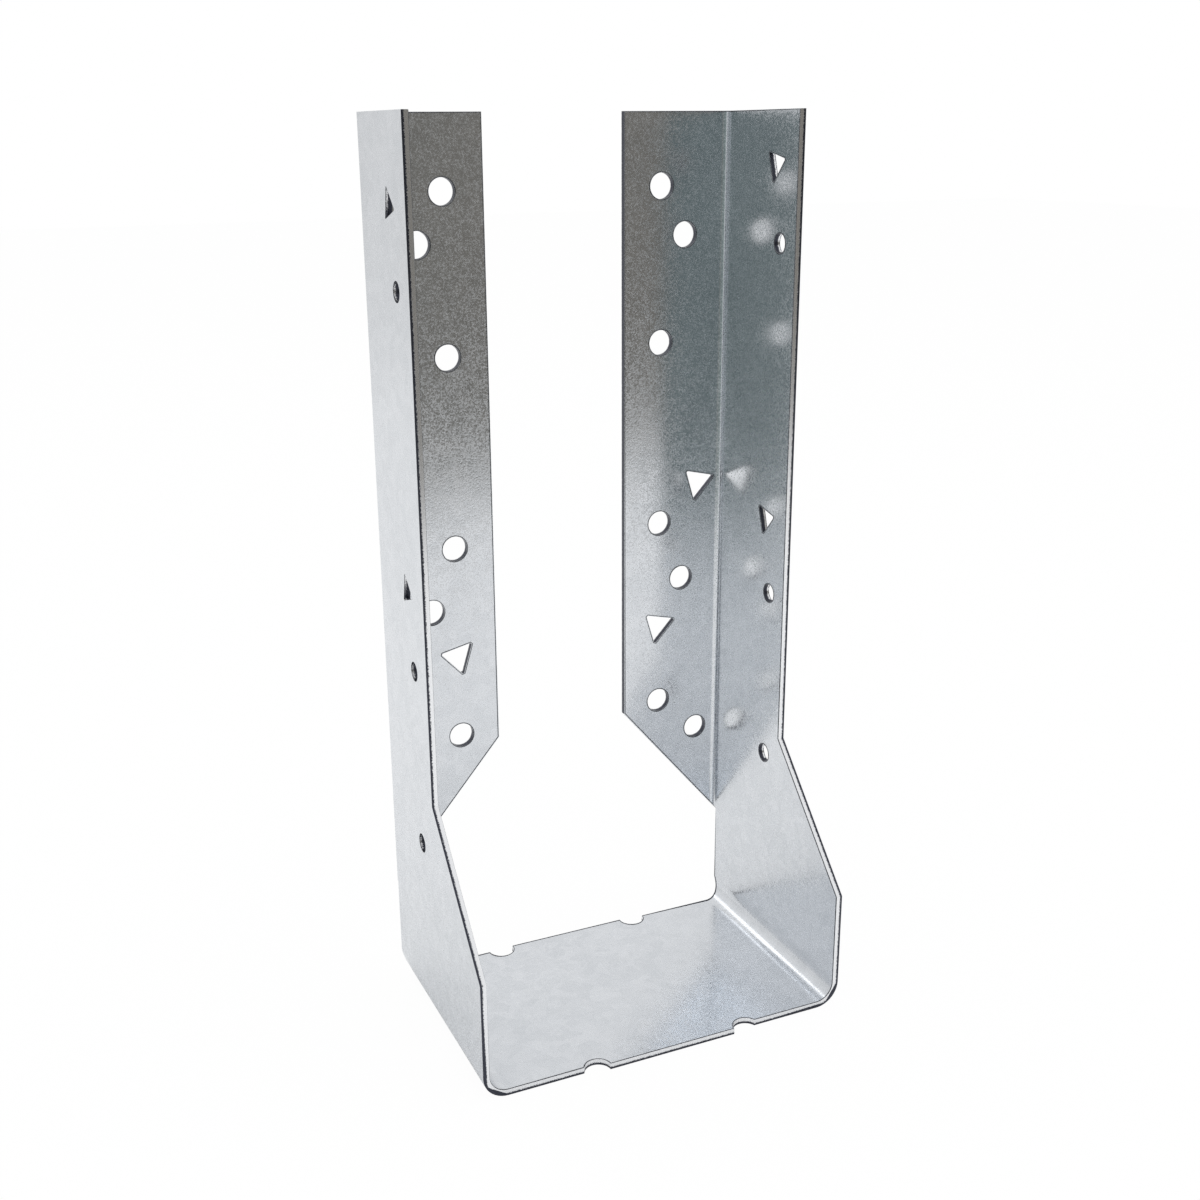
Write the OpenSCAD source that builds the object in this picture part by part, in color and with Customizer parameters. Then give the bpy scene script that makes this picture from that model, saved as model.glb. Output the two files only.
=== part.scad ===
// Joist hanger folded from one galvanised sheet, both nailing flanges turned inward.
// The front of the hanger faces -Y, the header it is nailed to stands at +Y, up is +Z.
// Millimetres. Origin: middle of the footprint, on the underside of the seat.

/* [Joist] */
// Clear width between the two side panels
joist_w = 90.5; // [80:0.5:150]
// Overall height, from the underside of the seat to the top edges
height = 211; // [180:0.5:300]

/* [Sheet] */
// Thickness of the sheet
sheet_t = 1.5; // [1.2:0.1:2.2]
// Inside radius of the folds between the seat and the side panels
seat_fold_r = 4.5; // [2:0.5:6]
// Inside radius of the folds between the side panels and the flanges
flange_fold_r = 1.5; // [1:0.25:2.5]

/* [Seat] */
// Depth from the back face of the flanges to the front edges of the side panels
seat_depth = 63; // [50:0.2:90]
// How far the middle of the front edge stands past its two ends
front_tab = 1.1; // [0.2:0.1:2]
// Gap from the back face of the flanges to the rear edge of the seat
rear_gap = 7.2; // [6:0.2:14]
// How far the middle of the rear edge stands past its two ends
rear_tab = 0.5; // [0.2:0.1:2]
// Radius of the round notches in the front and rear edges
notch_r = 3.2; // [2:0.1:4]
// Depth of the front notches, from the ends of the front edge
front_notch = 2; // [1.5:0.1:3.5]
// Depth of the rear notches, from the ends of the rear edge
rear_notch = 3.2; // [1.5:0.1:3.5]
// Distance between the two front notches
front_span = 39.2; // [28:0.2:50]
// Distance between the two rear notches
rear_span = 38; // [28:0.2:50]
// Sideways offset of the front pair of notches
front_shift = 0.5; // [-3:0.1:3]
// Sideways offset of the rear pair of notches
rear_shift = -1.9; // [-3:0.1:3]

/* [Side panels] */
// Depth of the upper part of the side panels
panel_d = 34.2; // [32:0.2:48]
// Height at which the front edge starts to flare forward
flare_top = 60; // [50:0.5:90]
// Height at which the flare ends and the upright lower front edge starts
flare_end = 29.6; // [15:0.2:40]

/* [Flanges] */
// Width of a flange, measured from the outer face of its side panel
flange_w = 29; // [26:0.5:36]
// Height of the lower end of the free edge
flange_low = 59.5; // [54:0.5:61]
// Height at which the slanted lower edge reaches the outer face of the side panel
flange_end = 25.5; // [15:0.5:40]

/* [Flange holes] */
// Diameter of the round nail holes in the flanges
nail_d = 6.2; // [3:0.1:6.6]
// Distance from the centre of a triangular flange hole to its blunted corners
tri_r = 4.5; // [3:0.1:4.6]
// Turn of the triangular flange holes, in degrees
tri_turn = 17; // [0:1:30]
// Distance of the inner column of flange holes from the outer face of the panel
col_inner = 19; // [17:0.1:19.5]
// Distance of the middle column of flange holes from the outer face of the panel
col_middle = 12.6; // [10:0.1:14]
// Distance of the outer column of flange holes from the outer face of the panel
col_outer = 7.8; // [7.5:0.1:9]

/* [Side holes] */
// Diameter of the round nail holes in the side panels
side_nail_d = 4.6; // [3:0.1:6]
// Distance from the centre of a triangular side hole to its blunted corners
side_tri_r = 3.8; // [3:0.1:4.6]
// Turn of the triangular holes in the right panel, in degrees
right_turn = 18; // [-30:1:30]
// Turn of the triangular holes in the left panel, in degrees
left_turn = -12; // [-30:1:30]
// Distance of the round holes in the right panel from the back of the flanges
side_round_y = 27.3; // [20:0.1:28]
// Distance of the triangular holes in the right panel from the back of the flanges
side_tri_y = 24.6; // [20:0.1:26]
// How much lower the holes in the left panel are than those in the right panel
side_drop = 6.6; // [0:0.1:8]
// How much further back the holes in the left panel are than those in the right panel
side_back = 1.8; // [0:0.1:4]
// Half the angle that one blunted corner of a triangular hole takes up, in degrees
tri_blunt = 3; // [1:0.5:15]

/* [Hidden] */
$fn = 96;
// Heights of the round holes in the inner, middle and outer column of a flange,
// those of the upper half measured down from the top edge
inner_z = [61.8, 110.6, height - 54.3, height - 17];
middle_z = [95.2, height - 28.5];
outer_z = [52.3];
// Heights of the triangular holes in the inner and outer column of a flange
tri_inner_z = [82.7];
tri_outer_z = [120.2];
// Heights of the round and triangular holes in the right side panel
side_round_z = [53.5, 96.7, height - 29.5];
side_tri_z = [115.2, height - 12];
// How far a cutting body stands past the sheet it cuts
over = 1;
// How far the straight ends of a fold lap the flats that they join
lap = 1;

inner_x = joist_w / 2;
outer_x = inner_x + sheet_t;
// Depth taken up by a flange fold, which is where a side panel ends at the back
panel_back = sheet_t + flange_fold_r;
// Height taken up by a seat fold, which is where a side panel starts
panel_foot = sheet_t + seat_fold_r;
// Half the flat width of the seat
seat_x = inner_x - seat_fold_r;
// Inner end of the flange fold, where the flat flange starts
flange_x = inner_x - flange_fold_r;
free_x = outer_x - flange_w;
slant = (flange_end - flange_low) / flange_w;
depth = seat_depth + front_tab;

// A flat piece of sheet lying in the plane of the seat.
module flat_xy(points) {
    linear_extrude(sheet_t)
        polygon(points);
}

// A flat piece of sheet standing along the depth, given as [y, z], from x = 0 to x = sheet_t.
module flat_yz(points) {
    rotate([90, 0, 90])
        linear_extrude(sheet_t)
            polygon(points);
}

// A flat piece of sheet standing across the front, given as [x, z], its back face at y = 0.
module flat_xz(points) {
    rotate([90, 0, 0])
        linear_extrude(sheet_t)
            polygon(points);
}

// Profile of a quarter fold about the origin, from +X to +Y, with a straight end on each side.
module fold(radius) {
    difference() {
        intersection() {
            circle(r = radius + sheet_t);
            square(radius + sheet_t);
        }
        circle(r = radius);
    }
    translate([radius, -lap])
        square([sheet_t, lap]);
    translate([-lap, radius])
        square([lap, sheet_t]);
}

// A blunt-cornered triangle standing on z = 0, its right-hand corner turned up by turn.
module triangle(radius, turn, high) {
    linear_extrude(high)
        polygon([for (k = [0:2], end = [-1, 1])
            let (a = turn + 120 * k + end * tri_blunt) [radius * cos(a), radius * sin(a)]]);
}

// One round-ended notch, opening towards -Y and reaching in from y = 0 as far as into.
module notch(into) {
    translate([0, into - notch_r, -over])
        cylinder(r = notch_r, h = sheet_t + 2 * over);
    translate([-notch_r, into - 2 * notch_r - over, -over])
        cube([2 * notch_r, notch_r + over, sheet_t + 2 * over]);
}

// The two notches of one edge, at each x of places.
module notches(places, into) {
    for (x = places)
        translate([x, 0, 0])
            notch(into);
}

// The flat seat, its front and rear edges stepped at the notches.
module seat() {
    front_x = [front_shift - front_span / 2, front_shift + front_span / 2];
    rear_x = [rear_shift - rear_span / 2, rear_shift + rear_span / 2];
    difference() {
        flat_xy([
            [-seat_x, -seat_depth],
            [front_x[0], -seat_depth],
            [front_x[0], -depth],
            [front_x[1], -depth],
            [front_x[1], -seat_depth],
            [seat_x, -seat_depth],
            [seat_x, -rear_gap],
            [rear_x[1], -rear_gap],
            [rear_x[1], rear_tab - rear_gap],
            [rear_x[0], rear_tab - rear_gap],
            [rear_x[0], -rear_gap],
            [-seat_x, -rear_gap]
        ]);
        translate([0, -seat_depth, 0])
            notches(front_x, front_notch);
        translate([0, -rear_gap, 0])
            mirror([0, 1, 0])
                notches(rear_x, rear_notch);
    }
}

// Fold from the seat up into the right side panel, its rear end trimmed on a slant.
module seat_fold() {
    difference() {
        translate([seat_x, -panel_back, panel_foot])
            rotate([90, 0, 0])
                linear_extrude(seat_depth - panel_back)
                    rotate([0, 0, -90])
                        fold(seat_fold_r);
        translate([seat_x - lap - over, 0, 0])
            rotate([90, 0, 90])
                linear_extrude(panel_foot + lap + 2 * over)
                    polygon([
                        [-rear_gap, -over],
                        [-rear_gap, sheet_t],
                        [-panel_back, panel_foot],
                        [over, panel_foot],
                        [over, -over]
                    ]);
    }
}

// Flat part of the right side panel, its nail holes moved down by drop and back by back.
module panel(drop, back, turn) {
    difference() {
        translate([inner_x, 0, 0])
            flat_yz([
                [-panel_back, panel_foot],
                [-panel_back, height],
                [-panel_d, height],
                [-panel_d, flare_top],
                [-seat_depth, flare_end],
                [-seat_depth, panel_foot]
            ]);
        for (z = side_round_z)
            translate([inner_x - over, back - side_round_y, z - drop])
                rotate([0, 90, 0])
                    cylinder(d = side_nail_d, h = sheet_t + 2 * over);
        for (z = side_tri_z)
            translate([inner_x - over, back - side_tri_y, z - drop])
                rotate([90, 0, 90])
                    mirror([1, 0, 0])
                        triangle(side_tri_r, turn, sheet_t + 2 * over);
    }
}

// One nail hole column of a flange, at a distance from the outer face of the panel.
module flange_column(from_panel, heights) {
    for (z = heights)
        translate([outer_x - from_panel, over, z])
            rotate([90, 0, 0])
                children();
}

// Flange with its fold, both ending at one slanted cut, and its nail holes.
module flange() {
    difference() {
        union() {
            flat_xz([
                [free_x, flange_end],
                [free_x, height],
                [flange_x, height],
                [flange_x, flange_end]
            ]);
            translate([flange_x, -panel_back, flange_end])
                linear_extrude(height - flange_end)
                    fold(flange_fold_r);
        }
        translate([0, over, 0])
            rotate([90, 0, 0])
                linear_extrude(panel_back + 2 * over)
                    polygon([
                        [free_x - over, flange_end - over],
                        [free_x - over, flange_low - slant * over],
                        [outer_x + over, flange_end + slant * over],
                        [outer_x + over, flange_end - over + slant * over]
                    ]);
        flange_column(col_inner, inner_z)
            cylinder(d = nail_d, h = sheet_t + 2 * over);
        flange_column(col_middle, middle_z)
            cylinder(d = nail_d, h = sheet_t + 2 * over);
        flange_column(col_outer, outer_z)
            cylinder(d = nail_d, h = sheet_t + 2 * over);
        flange_column(col_inner, tri_inner_z)
            triangle(tri_r, tri_turn, sheet_t + 2 * over);
        flange_column(col_outer, tri_outer_z)
            triangle(tri_r, tri_turn, sheet_t + 2 * over);
    }
}

// Everything on one side of the seat, with the place and turn of its panel's holes.
module side(drop, back, turn) {
    seat_fold();
    panel(drop, back, turn);
    flange();
}

// The whole folded sheet.
module hanger() {
    color([0.78, 0.8, 0.82])
        translate([0, depth / 2, 0])
            union() {
                seat();
                side(0, 0, right_turn);
                mirror([1, 0, 0])
                    side(side_drop, side_back, left_turn);
            }
}

hanger();
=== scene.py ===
"""Dresses the folded joist hanger: zinc faces, cut edges and their fine burr, and the studio."""

import logging
import math
from dataclasses import dataclass, field
from enum import Enum

import bmesh
import bpy
from mathutils import Matrix, Vector


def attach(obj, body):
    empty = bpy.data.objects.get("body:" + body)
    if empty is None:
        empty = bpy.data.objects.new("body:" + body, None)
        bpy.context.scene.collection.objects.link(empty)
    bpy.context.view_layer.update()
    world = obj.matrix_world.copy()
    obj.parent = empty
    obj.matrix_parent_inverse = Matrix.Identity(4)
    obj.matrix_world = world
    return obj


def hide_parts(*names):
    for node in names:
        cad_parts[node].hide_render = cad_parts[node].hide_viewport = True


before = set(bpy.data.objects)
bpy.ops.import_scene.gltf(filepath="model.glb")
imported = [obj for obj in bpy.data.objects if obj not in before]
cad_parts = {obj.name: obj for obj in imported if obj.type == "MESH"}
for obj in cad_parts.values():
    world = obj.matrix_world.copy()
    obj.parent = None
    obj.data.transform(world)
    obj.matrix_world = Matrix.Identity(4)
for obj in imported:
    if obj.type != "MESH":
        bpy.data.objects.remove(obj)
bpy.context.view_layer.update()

LOG = logging.getLogger("joist_hanger")

NODE = "hanger"
BODY = "root"
MM = 0.001

Colour = tuple[float, float, float]
Point = tuple[float, float, float]


class Skin(Enum):
    """The kinds of surface on the folded sheet, numbered as its material slots are."""

    OUTSIDE = 0
    INSIDE = 1
    SHEARED = 2
    TRIMMED = 3
    PUNCHED = 4


class Nodes:
    """A short way to write a node tree: adds nodes, sets their sockets and links them."""

    def __init__(self, tree: bpy.types.NodeTree) -> None:
        """Keeps the tree that is written.

        Args:
            tree: The shader, world or geometry tree.
        """
        self.tree = tree

    def add(self, kind: str, **settings: object) -> bpy.types.Node:
        """Adds one node.

        Args:
            kind: The node's type.
            settings: Its properties, such as operation or data_type.

        Returns:
            The new node.
        """
        node = self.tree.nodes.new(kind)
        for name, value in settings.items():
            setattr(node, name, value)
        return node

    def feed(self, node: bpy.types.Node, **inputs: object) -> bpy.types.Node:
        """Sets or links a node's inputs by name, with _ for a space.

        Args:
            node: The node whose inputs are fed.
            inputs: A socket to link, or a plain value to set, for each input.

        Returns:
            The same node.
        """
        for name, value in inputs.items():
            key = int(name[1:]) if name[0] == "i" and name[1:].isdigit() else name.replace("_", " ")
            socket = node.inputs[key]
            if isinstance(value, bpy.types.NodeSocket):
                self.tree.links.new(value, socket)
            else:
                socket.default_value = value
        return node

    def noise(self, place: bpy.types.NodeSocket, size: float,
              detail: float = 2.0) -> bpy.types.NodeSocket:
        """Adds a noise whose lumps are about one size.

        Args:
            place: The coordinates.
            size: The size of a lump, in metres.
            detail: How many finer layers it has.

        Returns:
            The value, from 0 to 1, about 0.5.
        """
        node = self.add("ShaderNodeTexNoise")
        self.feed(node, Vector=place, Scale=1 / size, Detail=detail, Roughness=0.6)
        return node.outputs[0]

    def spread(self, value: bpy.types.NodeSocket, low: float, high: float,
               start: float, end: float) -> bpy.types.NodeSocket:
        """Maps a value's range onto another, held at both ends.

        Args:
            value: The value to map.
            low: Where its range starts.
            high: Where its range ends.
            start: What the low end becomes.
            end: What the high end becomes.

        Returns:
            The mapped value.
        """
        node = self.add("ShaderNodeMapRange")
        self.feed(node, Value=value, From_Min=low, From_Max=high, To_Min=start, To_Max=end)
        return node.outputs[0]

    def maths(self, operation: str, *terms: object) -> bpy.types.NodeSocket:
        """Adds a sum on numbers.

        Args:
            operation: The sum, such as ADD.
            terms: Sockets or numbers.

        Returns:
            The result.
        """
        node = self.add("ShaderNodeMath", operation=operation)
        self.feed(node, **{f"i{i}": term for i, term in enumerate(terms)})
        return node.outputs[0]

    def blend(self, amount: bpy.types.NodeSocket, first: object,
              second: object) -> bpy.types.NodeSocket:
        """Blends two colours.

        Args:
            amount: 0 for the first, 1 for the second.
            first: A colour, or a socket that gives one.
            second: A colour, or a socket that gives one.

        Returns:
            The blended colour.
        """
        node = self.add("ShaderNodeMix", data_type="RGBA")
        pair = [(*c, 1.0) if isinstance(c, tuple) else c for c in (first, second)]
        self.feed(node, i0=amount, i6=pair[0], i7=pair[1])
        return node.outputs[2]


@dataclass(frozen=True)
class ZincFinish:
    """A hot-dip zinc skin with a minimised spangle: a fine pale mottle over a soft sheen."""

    name: str
    pale: Colour = (0.755, 0.775, 0.805)
    deep: Colour = (0.62, 0.645, 0.675)
    smooth: float = 0.14
    rough: float = 0.31
    grain: float = 1.0 * MM
    fleck: float = 0.42 * MM
    cloud: float = 22 * MM
    wave: float = 34 * MM
    peel: float = 0.012 * MM
    bow: float = 0.12 * MM
    # How much the grain, the spangle, the flecks and the clouds each add to the mottle
    shares: tuple[float, float, float, float] = (0.3, 0.12, 0.45, 0.2)
    # The span of the mottle over which the tone goes from deep to pale
    tone_span: tuple[float, float] = (0.36, 0.68)
    # The span of grain and flecks over which the sheen goes from smooth to rough
    sheen_span: tuple[float, float] = (0.58, 0.84)

    def build(self) -> bpy.types.Material:
        """Makes the material.

        Returns:
            The finished material.
        """
        material = bpy.data.materials.new(self.name)
        material.use_nodes = True
        tree = material.node_tree
        tree.nodes.clear()
        n = Nodes(tree)
        place = n.add("ShaderNodeTexCoord").outputs["Object"]
        grain = n.noise(place, self.grain, 3.0)
        fleck = n.noise(place, self.fleck, 1.0)
        cloud = n.noise(place, self.cloud, 2.0)
        spangle = n.add("ShaderNodeTexVoronoi")
        n.feed(spangle, Vector=place, Scale=1 / (2.6 * self.grain))
        cell = n.add("ShaderNodeSeparateColor")
        n.feed(cell, Color=spangle.outputs["Color"])
        parts = [n.maths("MULTIPLY", layer, share)
                 for layer, share in zip((grain, cell.outputs[0], fleck, cloud), self.shares)]
        mottle = parts[0]
        for part in parts[1:]:
            mottle = n.maths("ADD", mottle, part)
        tone = n.spread(mottle, *self.tone_span, 0.0, 1.0)
        patch = n.maths("ADD", n.maths("MULTIPLY", grain, 0.4), fleck)
        gloss = n.spread(patch, *self.sheen_span, self.smooth, self.rough)
        bow = n.add("ShaderNodeBump")
        n.feed(bow, Strength=1.0, Distance=self.bow, Height=n.noise(place, self.wave, 0.0))
        bump = n.add("ShaderNodeBump")
        height = n.maths("ADD", n.maths("MULTIPLY", grain, 0.5), fleck)
        n.feed(bump, Strength=1.0, Distance=self.peel, Height=height, Normal=bow.outputs[0])
        shader = n.add("ShaderNodeBsdfPrincipled")
        n.feed(shader, Metallic=1.0, Base_Color=n.blend(tone, self.deep, self.pale), Roughness=gloss,
               Normal=bump.outputs[0])
        n.feed(n.add("ShaderNodeOutputMaterial"), Surface=shader.outputs[0])
        return material


@dataclass(frozen=True)
class CutFinish:
    """A cut face of the sheet: dull torn steel, darkened near black as painted shade, with a bright
    burnished band between two depths.
    """

    name: str
    band: tuple[float, float]
    # The torn colour is near black: dull fracture steel, darkened further as painted shade for the dark
    # reflections and contact shadow along the cut edges.
    torn_and_shade: Colour = (0.045, 0.048, 0.062)
    burnished: Colour = (0.84, 0.85, 0.87)
    streak: float = 0.25 * MM
    # How soft the band's borders are and how far they stray, as shares of the sheet's thickness
    soft: float = 0.06
    stray: float = 0.12
    tooth: float = 0.02 * MM
    # How much lighter the specks are on the torn steel, whose near-black is partly painted shade
    speck: float = 1.35

    def build(self) -> bpy.types.Material:
        """Makes the material.

        Returns:
            The finished material.
        """
        material = bpy.data.materials.new(self.name)
        material.use_nodes = True
        tree = material.node_tree
        tree.nodes.clear()
        n = Nodes(tree)
        place = n.add("ShaderNodeTexCoord").outputs["Object"]
        depth = n.add("ShaderNodeAttribute", attribute_name=FoldedSheet.DEPTH).outputs["Fac"]
        streak = n.noise(place, self.streak, 2.0)
        line = n.maths("ADD", depth, n.spread(streak, 0.3, 0.7, -self.stray, self.stray))
        start, end = self.band
        shine = n.maths("MULTIPLY", n.spread(line, start - self.soft, start + self.soft, 0.0, 1.0),
                        n.spread(line, end - self.soft, end + self.soft, 1.0, 0.0))
        # Where the torn steel and its painted shade go: everywhere off the burnished band.
        torn_and_shade = n.maths("SUBTRACT", 1.0, shine)
        speck = n.blend(n.spread(streak, 0.35, 0.65, 0.0, 1.0), self.torn_and_shade,
                        tuple(self.speck * c for c in self.torn_and_shade))
        bump = n.add("ShaderNodeBump")
        n.feed(bump, Strength=1.0, Distance=self.tooth, Height=n.maths("MULTIPLY", streak, torn_and_shade))
        shader = n.add("ShaderNodeBsdfPrincipled")
        n.feed(shader, Metallic=1.0, Base_Color=n.blend(torn_and_shade, self.burnished, speck),
               Roughness=n.spread(torn_and_shade, 0.0, 1.0, 0.2, 0.4), Normal=bump.outputs[0])
        n.feed(n.add("ShaderNodeOutputMaterial"), Surface=shader.outputs[0])
        return material


@dataclass
class FoldedSheet:
    """The one folded sheet, its edges rolled and its kinds of surface told apart."""

    # The name of the attribute that says how deep a point lies in the sheet
    DEPTH = "sheet_depth"
    # How near to a side of the sheet a face lies that belongs to it, as a share of the thickness
    NEAR = 0.1

    sheet: float = 1.5 * MM
    outer_x: float = 46.75 * MM
    back_y: float = 32.05 * MM
    seat_fold: float = 6.0 * MM
    flange_fold: float = 3.0 * MM
    roll: float = 0.32 * MM
    arris: float = 0.5
    outside: ZincFinish = field(default_factory=lambda: ZincFinish("zinc_outside"))
    inside: ZincFinish = field(default_factory=lambda: ZincFinish("zinc_inside"))
    # The bands leave the sheared faces' outer part, nearly all of each trimmed face and most of each
    # hole wall in the near-black torn colour, as painted shade along the edges and in the holes.
    sheared: CutFinish = field(default_factory=lambda: CutFinish("sheared_edge", (0.4, 1.2)))
    trimmed: CutFinish = field(default_factory=lambda: CutFinish("trimmed_edge", (0.0, 0.08)))
    punched: CutFinish = field(default_factory=lambda: CutFinish("punched_wall", (0.12, 0.36)))

    def depth(self, point: Vector) -> float:
        """Says how deep a point lies in the sheet.

        Args:
            point: A point of the folded sheet.

        Returns:
            0 on the outside, 1 on the inside.
        """
        x = abs(point.x)
        fold_x = self.outer_x - self.flange_fold
        fold_y = self.back_y - self.flange_fold
        seat_x = self.outer_x - self.seat_fold
        if point.y > fold_y:
            if x > fold_x:
                deep = self.flange_fold - math.hypot(x - fold_x, point.y - fold_y)
            else:
                deep = self.back_y - point.y
        elif point.z < self.seat_fold:
            if x > seat_x:
                deep = self.seat_fold - math.hypot(x - seat_x, point.z - self.seat_fold)
            else:
                deep = point.z
        else:
            deep = self.outer_x - x
        return deep / self.sheet

    def skin(self, face: bmesh.types.BMFace) -> Skin:
        """Tells which kind of surface a face is.

        Args:
            face: One face of the sheet.

        Returns:
            The kind of surface.
        """
        depths = [self.depth(v.co) for v in face.verts]
        if max(depths) < self.NEAR:
            return Skin.OUTSIDE
        if min(depths) > 1 - self.NEAR:
            return Skin.INSIDE
        on_flange = all(v.co.y > self.back_y - (1 + self.NEAR) * self.sheet for v in face.verts)
        return Skin.TRIMMED if on_flange or face.normal.z > 0.9 else Skin.SHEARED

    def plate(self) -> bmesh.types.BMesh:
        """Takes the sheet's shape from the frame, its flat faces whole again.

        Returns:
            The sheet, each face numbered with its kind.
        """
        plate = bmesh.new()
        plate.from_mesh(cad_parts[NODE].data)
        bmesh.ops.remove_doubles(plate, verts=plate.verts, dist=0.001 * MM)
        bmesh.ops.dissolve_limit(plate, angle_limit=math.radians(0.2), verts=plate.verts,
                                 edges=plate.edges)
        for face in plate.faces:
            face.material_index = self.skin(face).value
            face.smooth = True
        for face in self.walls(plate):
            face.material_index = Skin.PUNCHED.value
        return plate

    def walls(self, plate: bmesh.types.BMesh) -> list[bmesh.types.BMFace]:
        """Finds the walls of the side holes, each a ring of cut faces apart from the outline's.

        Args:
            plate: The sheet.

        Returns:
            The faces of all these walls.
        """
        left = {f for f in plate.faces if f.material_index == Skin.SHEARED.value}
        rings: list[list[bmesh.types.BMFace]] = []
        while left:
            ring = [left.pop()]
            for face in ring:
                near = {f for e in face.edges for f in e.link_faces} & left
                ring.extend(near)
                left -= near
            rings.append(ring)
        widest = max(sum(f.calc_area() for f in ring) for ring in rings)
        return [f for ring in rings if sum(f.calc_area() for f in ring) < 0.1 * widest for f in ring]

    def rims(self, plate: bmesh.types.BMesh, side: Skin) -> list[bmesh.types.BMEdge]:
        """Finds the edges between one side of the sheet and its cut faces.

        Args:
            plate: The sheet.
            side: The outside or the inside.

        Returns:
            The edges.
        """
        kinds = [{side.value, cut.value} for cut in (Skin.SHEARED, Skin.TRIMMED, Skin.PUNCHED)]
        return [e for e in plate.edges if {f.material_index for f in e.link_faces} in kinds]

    def inward(self, vert: bmesh.types.BMVert) -> Vector:
        """Finds the way from a point on a rim into the sheet, square to its cut faces.

        Args:
            vert: A point on a rim.

        Returns:
            A step of one unit away from each cut face that meets there.
        """
        cuts: list[Vector] = []
        for face in vert.link_faces:
            new = all(face.normal.dot(cut) < 0.9 for cut in cuts)
            if new and face.material_index >= Skin.SHEARED.value:
                cuts.append(face.normal.copy())
        return -sum(cuts, Vector())

    def build(self) -> bpy.types.Object:
        """Makes the dressed sheet.

        Returns:
            The finished piece.
        """
        plate = self.plate()
        weight = plate.edges.layers.float.new("bevel_weight_edge")
        depth = plate.verts.layers.float.new(self.DEPTH)
        for vert in plate.verts:
            vert[depth] = self.depth(vert.co)
        for edge in plate.edges:
            kinds = [f.material_index for f in edge.link_faces]
            if min(kinds) >= Skin.SHEARED.value and edge.calc_face_angle(0.0) > math.radians(35):
                edge[weight] = self.arris
        for side, share in ((Skin.OUTSIDE, 1.0), (Skin.INSIDE, self.arris)):
            for edge in self.rims(plate, side):
                edge[weight] = share
        mesh = bpy.data.meshes.new("folded_sheet")
        plate.to_mesh(mesh)
        plate.free()
        piece = bpy.data.objects.new("folded_sheet", mesh)
        bpy.context.scene.collection.objects.link(piece)
        for finish in (self.outside, self.inside, self.sheared, self.trimmed, self.punched):
            mesh.materials.append(finish.build())
        bevel = piece.modifiers.new("rolled_edges", "BEVEL")
        bevel.limit_method = "WEIGHT"
        bevel.offset_type = "OFFSET"
        bevel.width = self.roll
        bevel.segments = 3
        bevel.use_clamp_overlap = True
        bevel.miter_outer = "MITER_SHARP"
        even = piece.modifiers.new("even_shading", "WEIGHTED_NORMAL")
        even.weight = 100
        even.keep_sharp = False
        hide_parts(NODE)
        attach(piece, BODY)
        return piece


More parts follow.
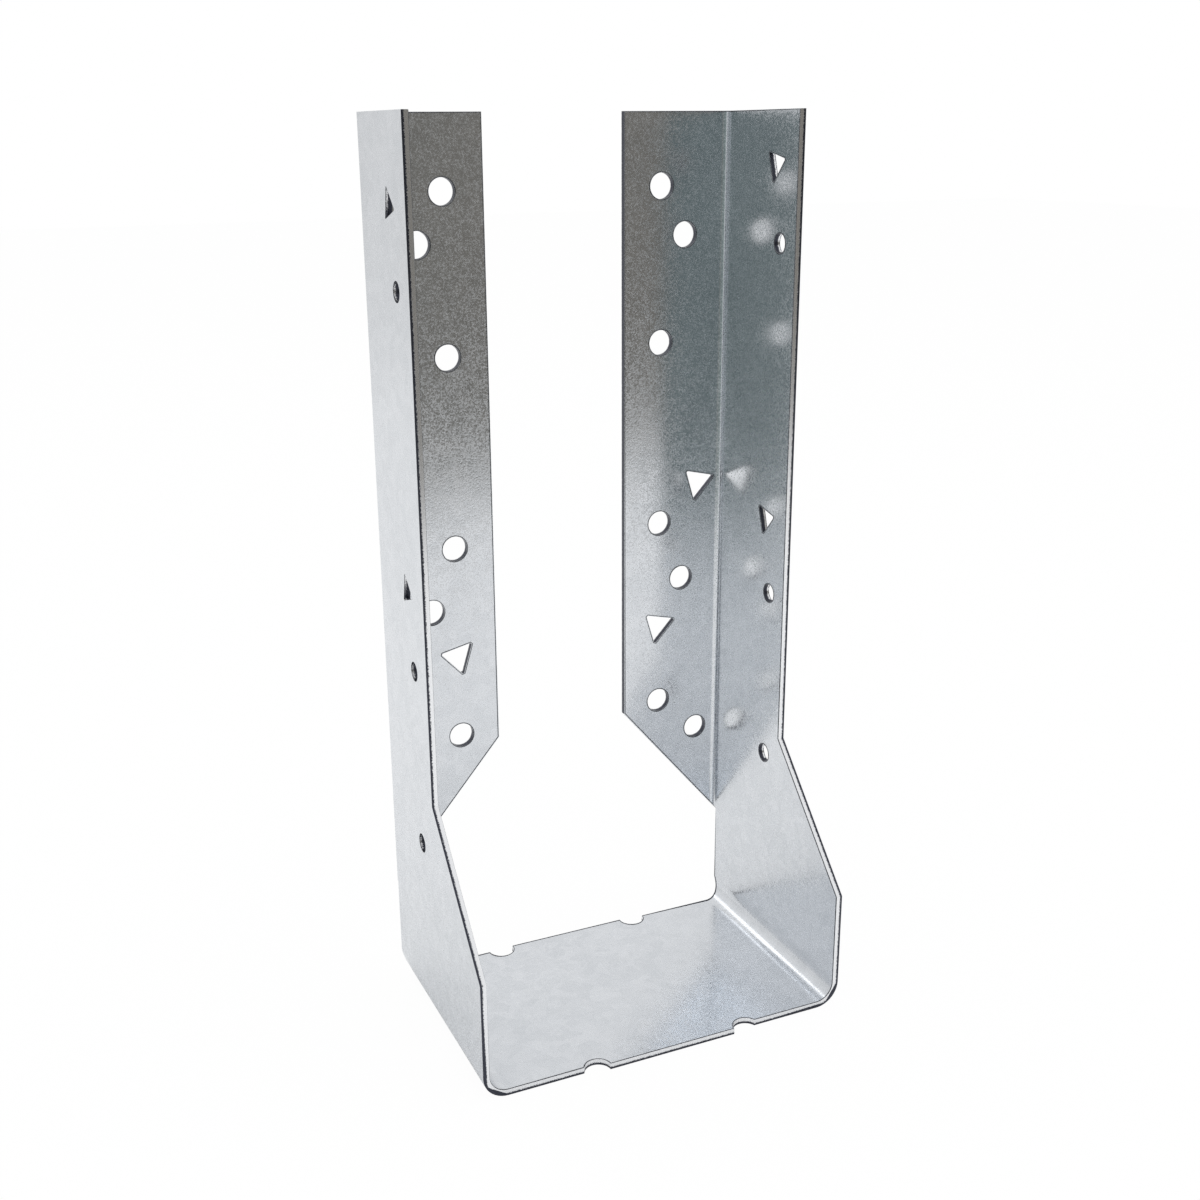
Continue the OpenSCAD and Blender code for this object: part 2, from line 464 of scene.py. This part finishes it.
@dataclass
class ShearBurr:
    """The fine burr that stands along every sheared outline and hole, on the inside of the sheet, its
    zinc darkened near black as painted shade along those rims.
    """

    source: FoldedSheet
    # The burr's zinc is darkened near black to paint the thin shade line along the inner arris and the
    # hole rims.
    finish: ZincFinish = field(default_factory=lambda: ZincFinish(
        "burr_painted_shade", pale=(0.16, 0.165, 0.18), deep=(0.07, 0.073, 0.08), smooth=0.25, rough=0.4))
    height: float = 0.15 * MM
    waver: float = 6 * MM
    sides: int = 6
    seed: int = 4

    def path(self) -> bpy.types.Mesh:
        """Lays the lines that the burr follows.

        Returns:
            A mesh of edges alone, one closed loop for each outline.
        """
        plate = self.source.plate()
        edges = self.source.rims(plate, Skin.INSIDE)
        number: dict[bmesh.types.BMVert, int] = {}
        for edge in edges:
            for vert in edge.verts:
                number.setdefault(vert, len(number))
        mesh = bpy.data.meshes.new("burr_path")
        places = [v.co + self.height * self.source.inward(v) for v in number]
        mesh.from_pydata(places, [[number[v] for v in e.verts] for e in edges], [])
        plate.free()
        return mesh

    def tree(self) -> bpy.types.NodeTree:
        """Builds the rule that sweeps the burr along its lines.

        Returns:
            The geometry tree.
        """
        tree = bpy.data.node_groups.new("burr_along_outline", "GeometryNodeTree")
        tree.is_modifier = True
        face = tree.interface
        face.new_socket("Outline", in_out="INPUT", socket_type="NodeSocketGeometry")
        for label, kind in (("Burr height", "NodeSocketFloat"), ("Waver length", "NodeSocketFloat"),
                            ("Sides", "NodeSocketInt"), ("Seed", "NodeSocketInt"),
                            ("Finish", "NodeSocketMaterial")):
            face.new_socket(label, in_out="INPUT", socket_type=kind)
        face.new_socket("Burr", in_out="OUTPUT", socket_type="NodeSocketGeometry")
        n = Nodes(tree)
        given = n.add("NodeGroupInput").outputs
        line = n.feed(n.add("GeometryNodeMeshToCurve"), Mesh=given["Outline"])
        noise = n.add("ShaderNodeTexNoise", noise_dimensions="4D")
        place = n.add("GeometryNodeInputPosition")
        n.feed(noise, Vector=place.outputs[0], W=given["Seed"], Detail=2.0,
               Scale=n.maths("DIVIDE", 1.0, given["Waver length"]))
        swell = n.spread(noise.outputs[0], 0.3, 0.7, 0.55, 1.0)
        ring = n.feed(n.add("GeometryNodeCurvePrimitiveCircle", mode="RADIUS"),
                      Resolution=given["Sides"], Radius=given["Burr height"])
        sweep = n.add("GeometryNodeCurveToMesh")
        radius = n.feed(n.add("GeometryNodeSetCurveRadius"), Curve=line.outputs[0], Radius=swell)
        n.feed(sweep, Curve=radius.outputs[0], Profile_Curve=ring.outputs[0])
        if "Scale" in sweep.inputs:
            n.feed(sweep, Scale=swell)
        real = n.feed(n.add("GeometryNodeRealizeInstances"), Geometry=sweep.outputs[0])
        dressed = n.feed(n.add("GeometryNodeSetMaterial"), Geometry=real.outputs[0],
                         Material=given["Finish"])
        n.feed(n.add("NodeGroupOutput"), i0=dressed.outputs[0])
        return tree

    def build(self) -> bpy.types.Object:
        """Makes the burr as a plain mesh.

        Returns:
            The finished piece.
        """
        maker = bpy.data.objects.new("burr_maker", self.path())
        bpy.context.scene.collection.objects.link(maker)
        rule = maker.modifiers.new("burr", "NODES")
        rule.node_group = self.tree()
        finish = self.finish.build()
        values = {"Burr height": self.height, "Waver length": self.waver, "Sides": self.sides,
                  "Seed": self.seed, "Finish": finish}
        for item in rule.node_group.interface.items_tree:
            if item.in_out == "INPUT" and item.name in values:
                rule[item.identifier] = values[item.name]
        view = bpy.context.evaluated_depsgraph_get()
        mesh = bpy.data.meshes.new_from_object(maker.evaluated_get(view), depsgraph=view)
        mesh.name = "shear_burr"
        bpy.data.objects.remove(maker)
        tidy = bmesh.new()
        tidy.from_mesh(mesh)
        bmesh.ops.remove_doubles(tidy, verts=tidy.verts, dist=0.0005 * MM)
        bmesh.ops.recalc_face_normals(tidy, faces=tidy.faces)
        tidy.to_mesh(mesh)
        tidy.free()
        mesh.shade_smooth()
        piece = bpy.data.objects.new("shear_burr", mesh)
        bpy.context.scene.collection.objects.link(piece)
        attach(piece, BODY)
        return piece


@dataclass(frozen=True)
class SoftLamp:
    """A soft square lamp that faces the hanger, its power in watts, mirrored by the zinc or not."""

    name: str
    place: Point
    size: float
    power: float
    mirrored: bool = True

    def build(self) -> None:
        """Hangs the lamp."""
        light = bpy.data.lights.new(self.name, "AREA")
        light.shape = "SQUARE"
        light.size = self.size
        light.energy = self.power
        lamp = bpy.data.objects.new(self.name, light)
        facing = (-Vector(self.place)).to_track_quat("-Z", "Y")
        lamp.matrix_world = Matrix.LocRotScale(Vector(self.place), facing, None)
        lamp.visible_glossy = self.mirrored
        bpy.context.scene.collection.objects.link(lamp)


@dataclass
class Studio:
    """The pale table, the room round it, three soft lamps and the camera."""

    lens: float = 43.638
    eye: Point = (-0.137751, -0.292057, 0.206271)
    turn: float = 0.4191
    dip: float = 0.313
    roll: float = -0.0094
    shift: tuple[float, float] = (0.01449, 0.00293)
    table: tuple[tuple[float, float], ...] = ((-3.0, 0.1), (-0.35, -0.22), (0.14, -0.48), (0.6, -0.64),
                                              (3.0, -0.7), (3.0, 3.5), (-3.0, 3.5))
    # The table's tone, and how much of it is plain white where it is seen directly
    table_tone: float = 0.9
    table_white: float = 0.96
    room_dark: float = 0.235
    room_pale: float = 0.8
    room_high: float = 0.92
    cool: Colour = (0.88, 1.05, 1.03)
    warm: Colour = (0.86, 0.81, 0.73)
    # Where the dark front fades out towards the sides and upwards, where its cool side turns to
    # its warm one, and where the pale room grows brighter, each as a part of a unit direction
    dark_ahead: tuple[float, float] = (-0.62, -0.25)
    dark_below: tuple[float, float] = (0.2, 0.42)
    cool_to_warm: tuple[float, float] = (-0.3, 0.3)
    pale_to_high: tuple[float, float] = (0.05, 0.45)
    lamps: tuple[SoftLamp, ...] = (SoftLamp("overhead_lamp", (0.2, -0.2, 1.35), 1.2, 4.0, False),
                                   SoftLamp("rear_lamp", (-0.3, 0.95, 0.9), 0.34, 0.42),
                                   SoftLamp("front_lamp", (-0.52, -0.88, 0.82), 0.5, 1.05))

    def camera(self) -> None:
        """Sets up the camera."""
        lens = bpy.data.cameras.new("camera")
        lens.sensor_width = 36.0
        lens.lens = self.lens
        lens.shift_x, lens.shift_y = self.shift
        lens.clip_start = 0.01
        ahead = Vector((math.sin(self.turn) * math.cos(self.dip),
                        math.cos(self.turn) * math.cos(self.dip), -math.sin(self.dip)))
        right = Vector((math.cos(self.turn), -math.sin(self.turn), 0.0))
        up = right.cross(ahead)
        level = Matrix((right, up, -ahead)).transposed()
        held = level @ Matrix.Rotation(self.roll, 3, "Z")
        camera = bpy.data.objects.new("camera", lens)
        camera.matrix_world = Matrix.LocRotScale(Vector(self.eye), held, None)
        bpy.context.scene.collection.objects.link(camera)
        bpy.context.scene.camera = camera

    def floor(self) -> None:
        """Lays the pale table top."""
        mesh = bpy.data.meshes.new("table_top")
        mesh.from_pydata([(x, y, 0.0) for x, y in self.table], [], [list(range(len(self.table)))])
        top = bpy.data.objects.new("table_top", mesh)
        bpy.context.scene.collection.objects.link(top)
        material = bpy.data.materials.new("pale_table")
        material.use_nodes = True
        material.node_tree.nodes.clear()
        n = Nodes(material.node_tree)
        seen = n.add("ShaderNodeLightPath").outputs
        plain = n.feed(n.add("ShaderNodeBsdfDiffuse"), Color=(*[self.table_tone] * 3, 1.0))
        white = n.feed(n.add("ShaderNodeEmission"), Color=(1.0, 1.0, 1.0, 1.0), Strength=1.0)
        mix = n.add("ShaderNodeMixShader")
        n.feed(mix, i0=n.maths("MULTIPLY", seen["Is Camera Ray"], self.table_white),
               i1=plain.outputs[0], i2=white.outputs[0])
        n.feed(n.add("ShaderNodeOutputMaterial"), Surface=mix.outputs[0])
        mesh.materials.append(material)

    def room(self) -> None:
        """Lights the room: pale behind and overhead, dark in front, plain white where seen directly."""
        world = bpy.data.worlds.new("room")
        bpy.context.scene.world = world
        world.use_nodes = True
        world.node_tree.nodes.clear()
        n = Nodes(world.node_tree)
        way = n.add("ShaderNodeSeparateXYZ")
        n.feed(way, Vector=n.add("ShaderNodeTexCoord").outputs["Generated"])
        seen = n.add("ShaderNodeLightPath").outputs["Is Camera Ray"]
        front = n.spread(way.outputs["Y"], *self.dark_ahead, 1.0, 0.0)
        low = n.spread(way.outputs["Z"], *self.dark_below, 1.0, 0.0)
        dark = n.maths("MULTIPLY", n.maths("MULTIPLY", front, low), n.maths("SUBTRACT", 1.0, seen))
        side = n.spread(way.outputs["X"], *self.cool_to_warm, 0.0, 1.0)
        tone = n.blend(side, self.cool, self.warm)
        pale = n.spread(way.outputs["Z"], *self.pale_to_high, self.room_pale, self.room_high)
        deep = n.maths("MULTIPLY", dark, n.maths("SUBTRACT", pale, self.room_dark))
        level = n.maths("MAXIMUM", n.maths("SUBTRACT", pale, deep), seen)
        back = n.feed(n.add("ShaderNodeBackground"), Color=n.blend(dark, (1.0, 1.0, 1.0), tone),
                      Strength=level)
        n.feed(n.add("ShaderNodeOutputWorld"), Surface=back.outputs[0])

    def build(self) -> None:
        """Sets up the whole studio."""
        self.camera()
        self.floor()
        self.room()
        for lamp in self.lamps:
            lamp.build()
        bpy.context.scene.view_settings.view_transform = "Standard"


def main() -> None:
    """Builds the studio and each piece in order, and reports them."""
    logging.basicConfig(level=logging.INFO, format="%(message)s")
    Studio().build()
    sheet = FoldedSheet()
    for piece in (sheet.build(), ShearBurr(sheet).build()):
        LOG.info("%s: %d faces", piece.name, len(piece.data.polygons))


if __name__ == "__main__":
    main()
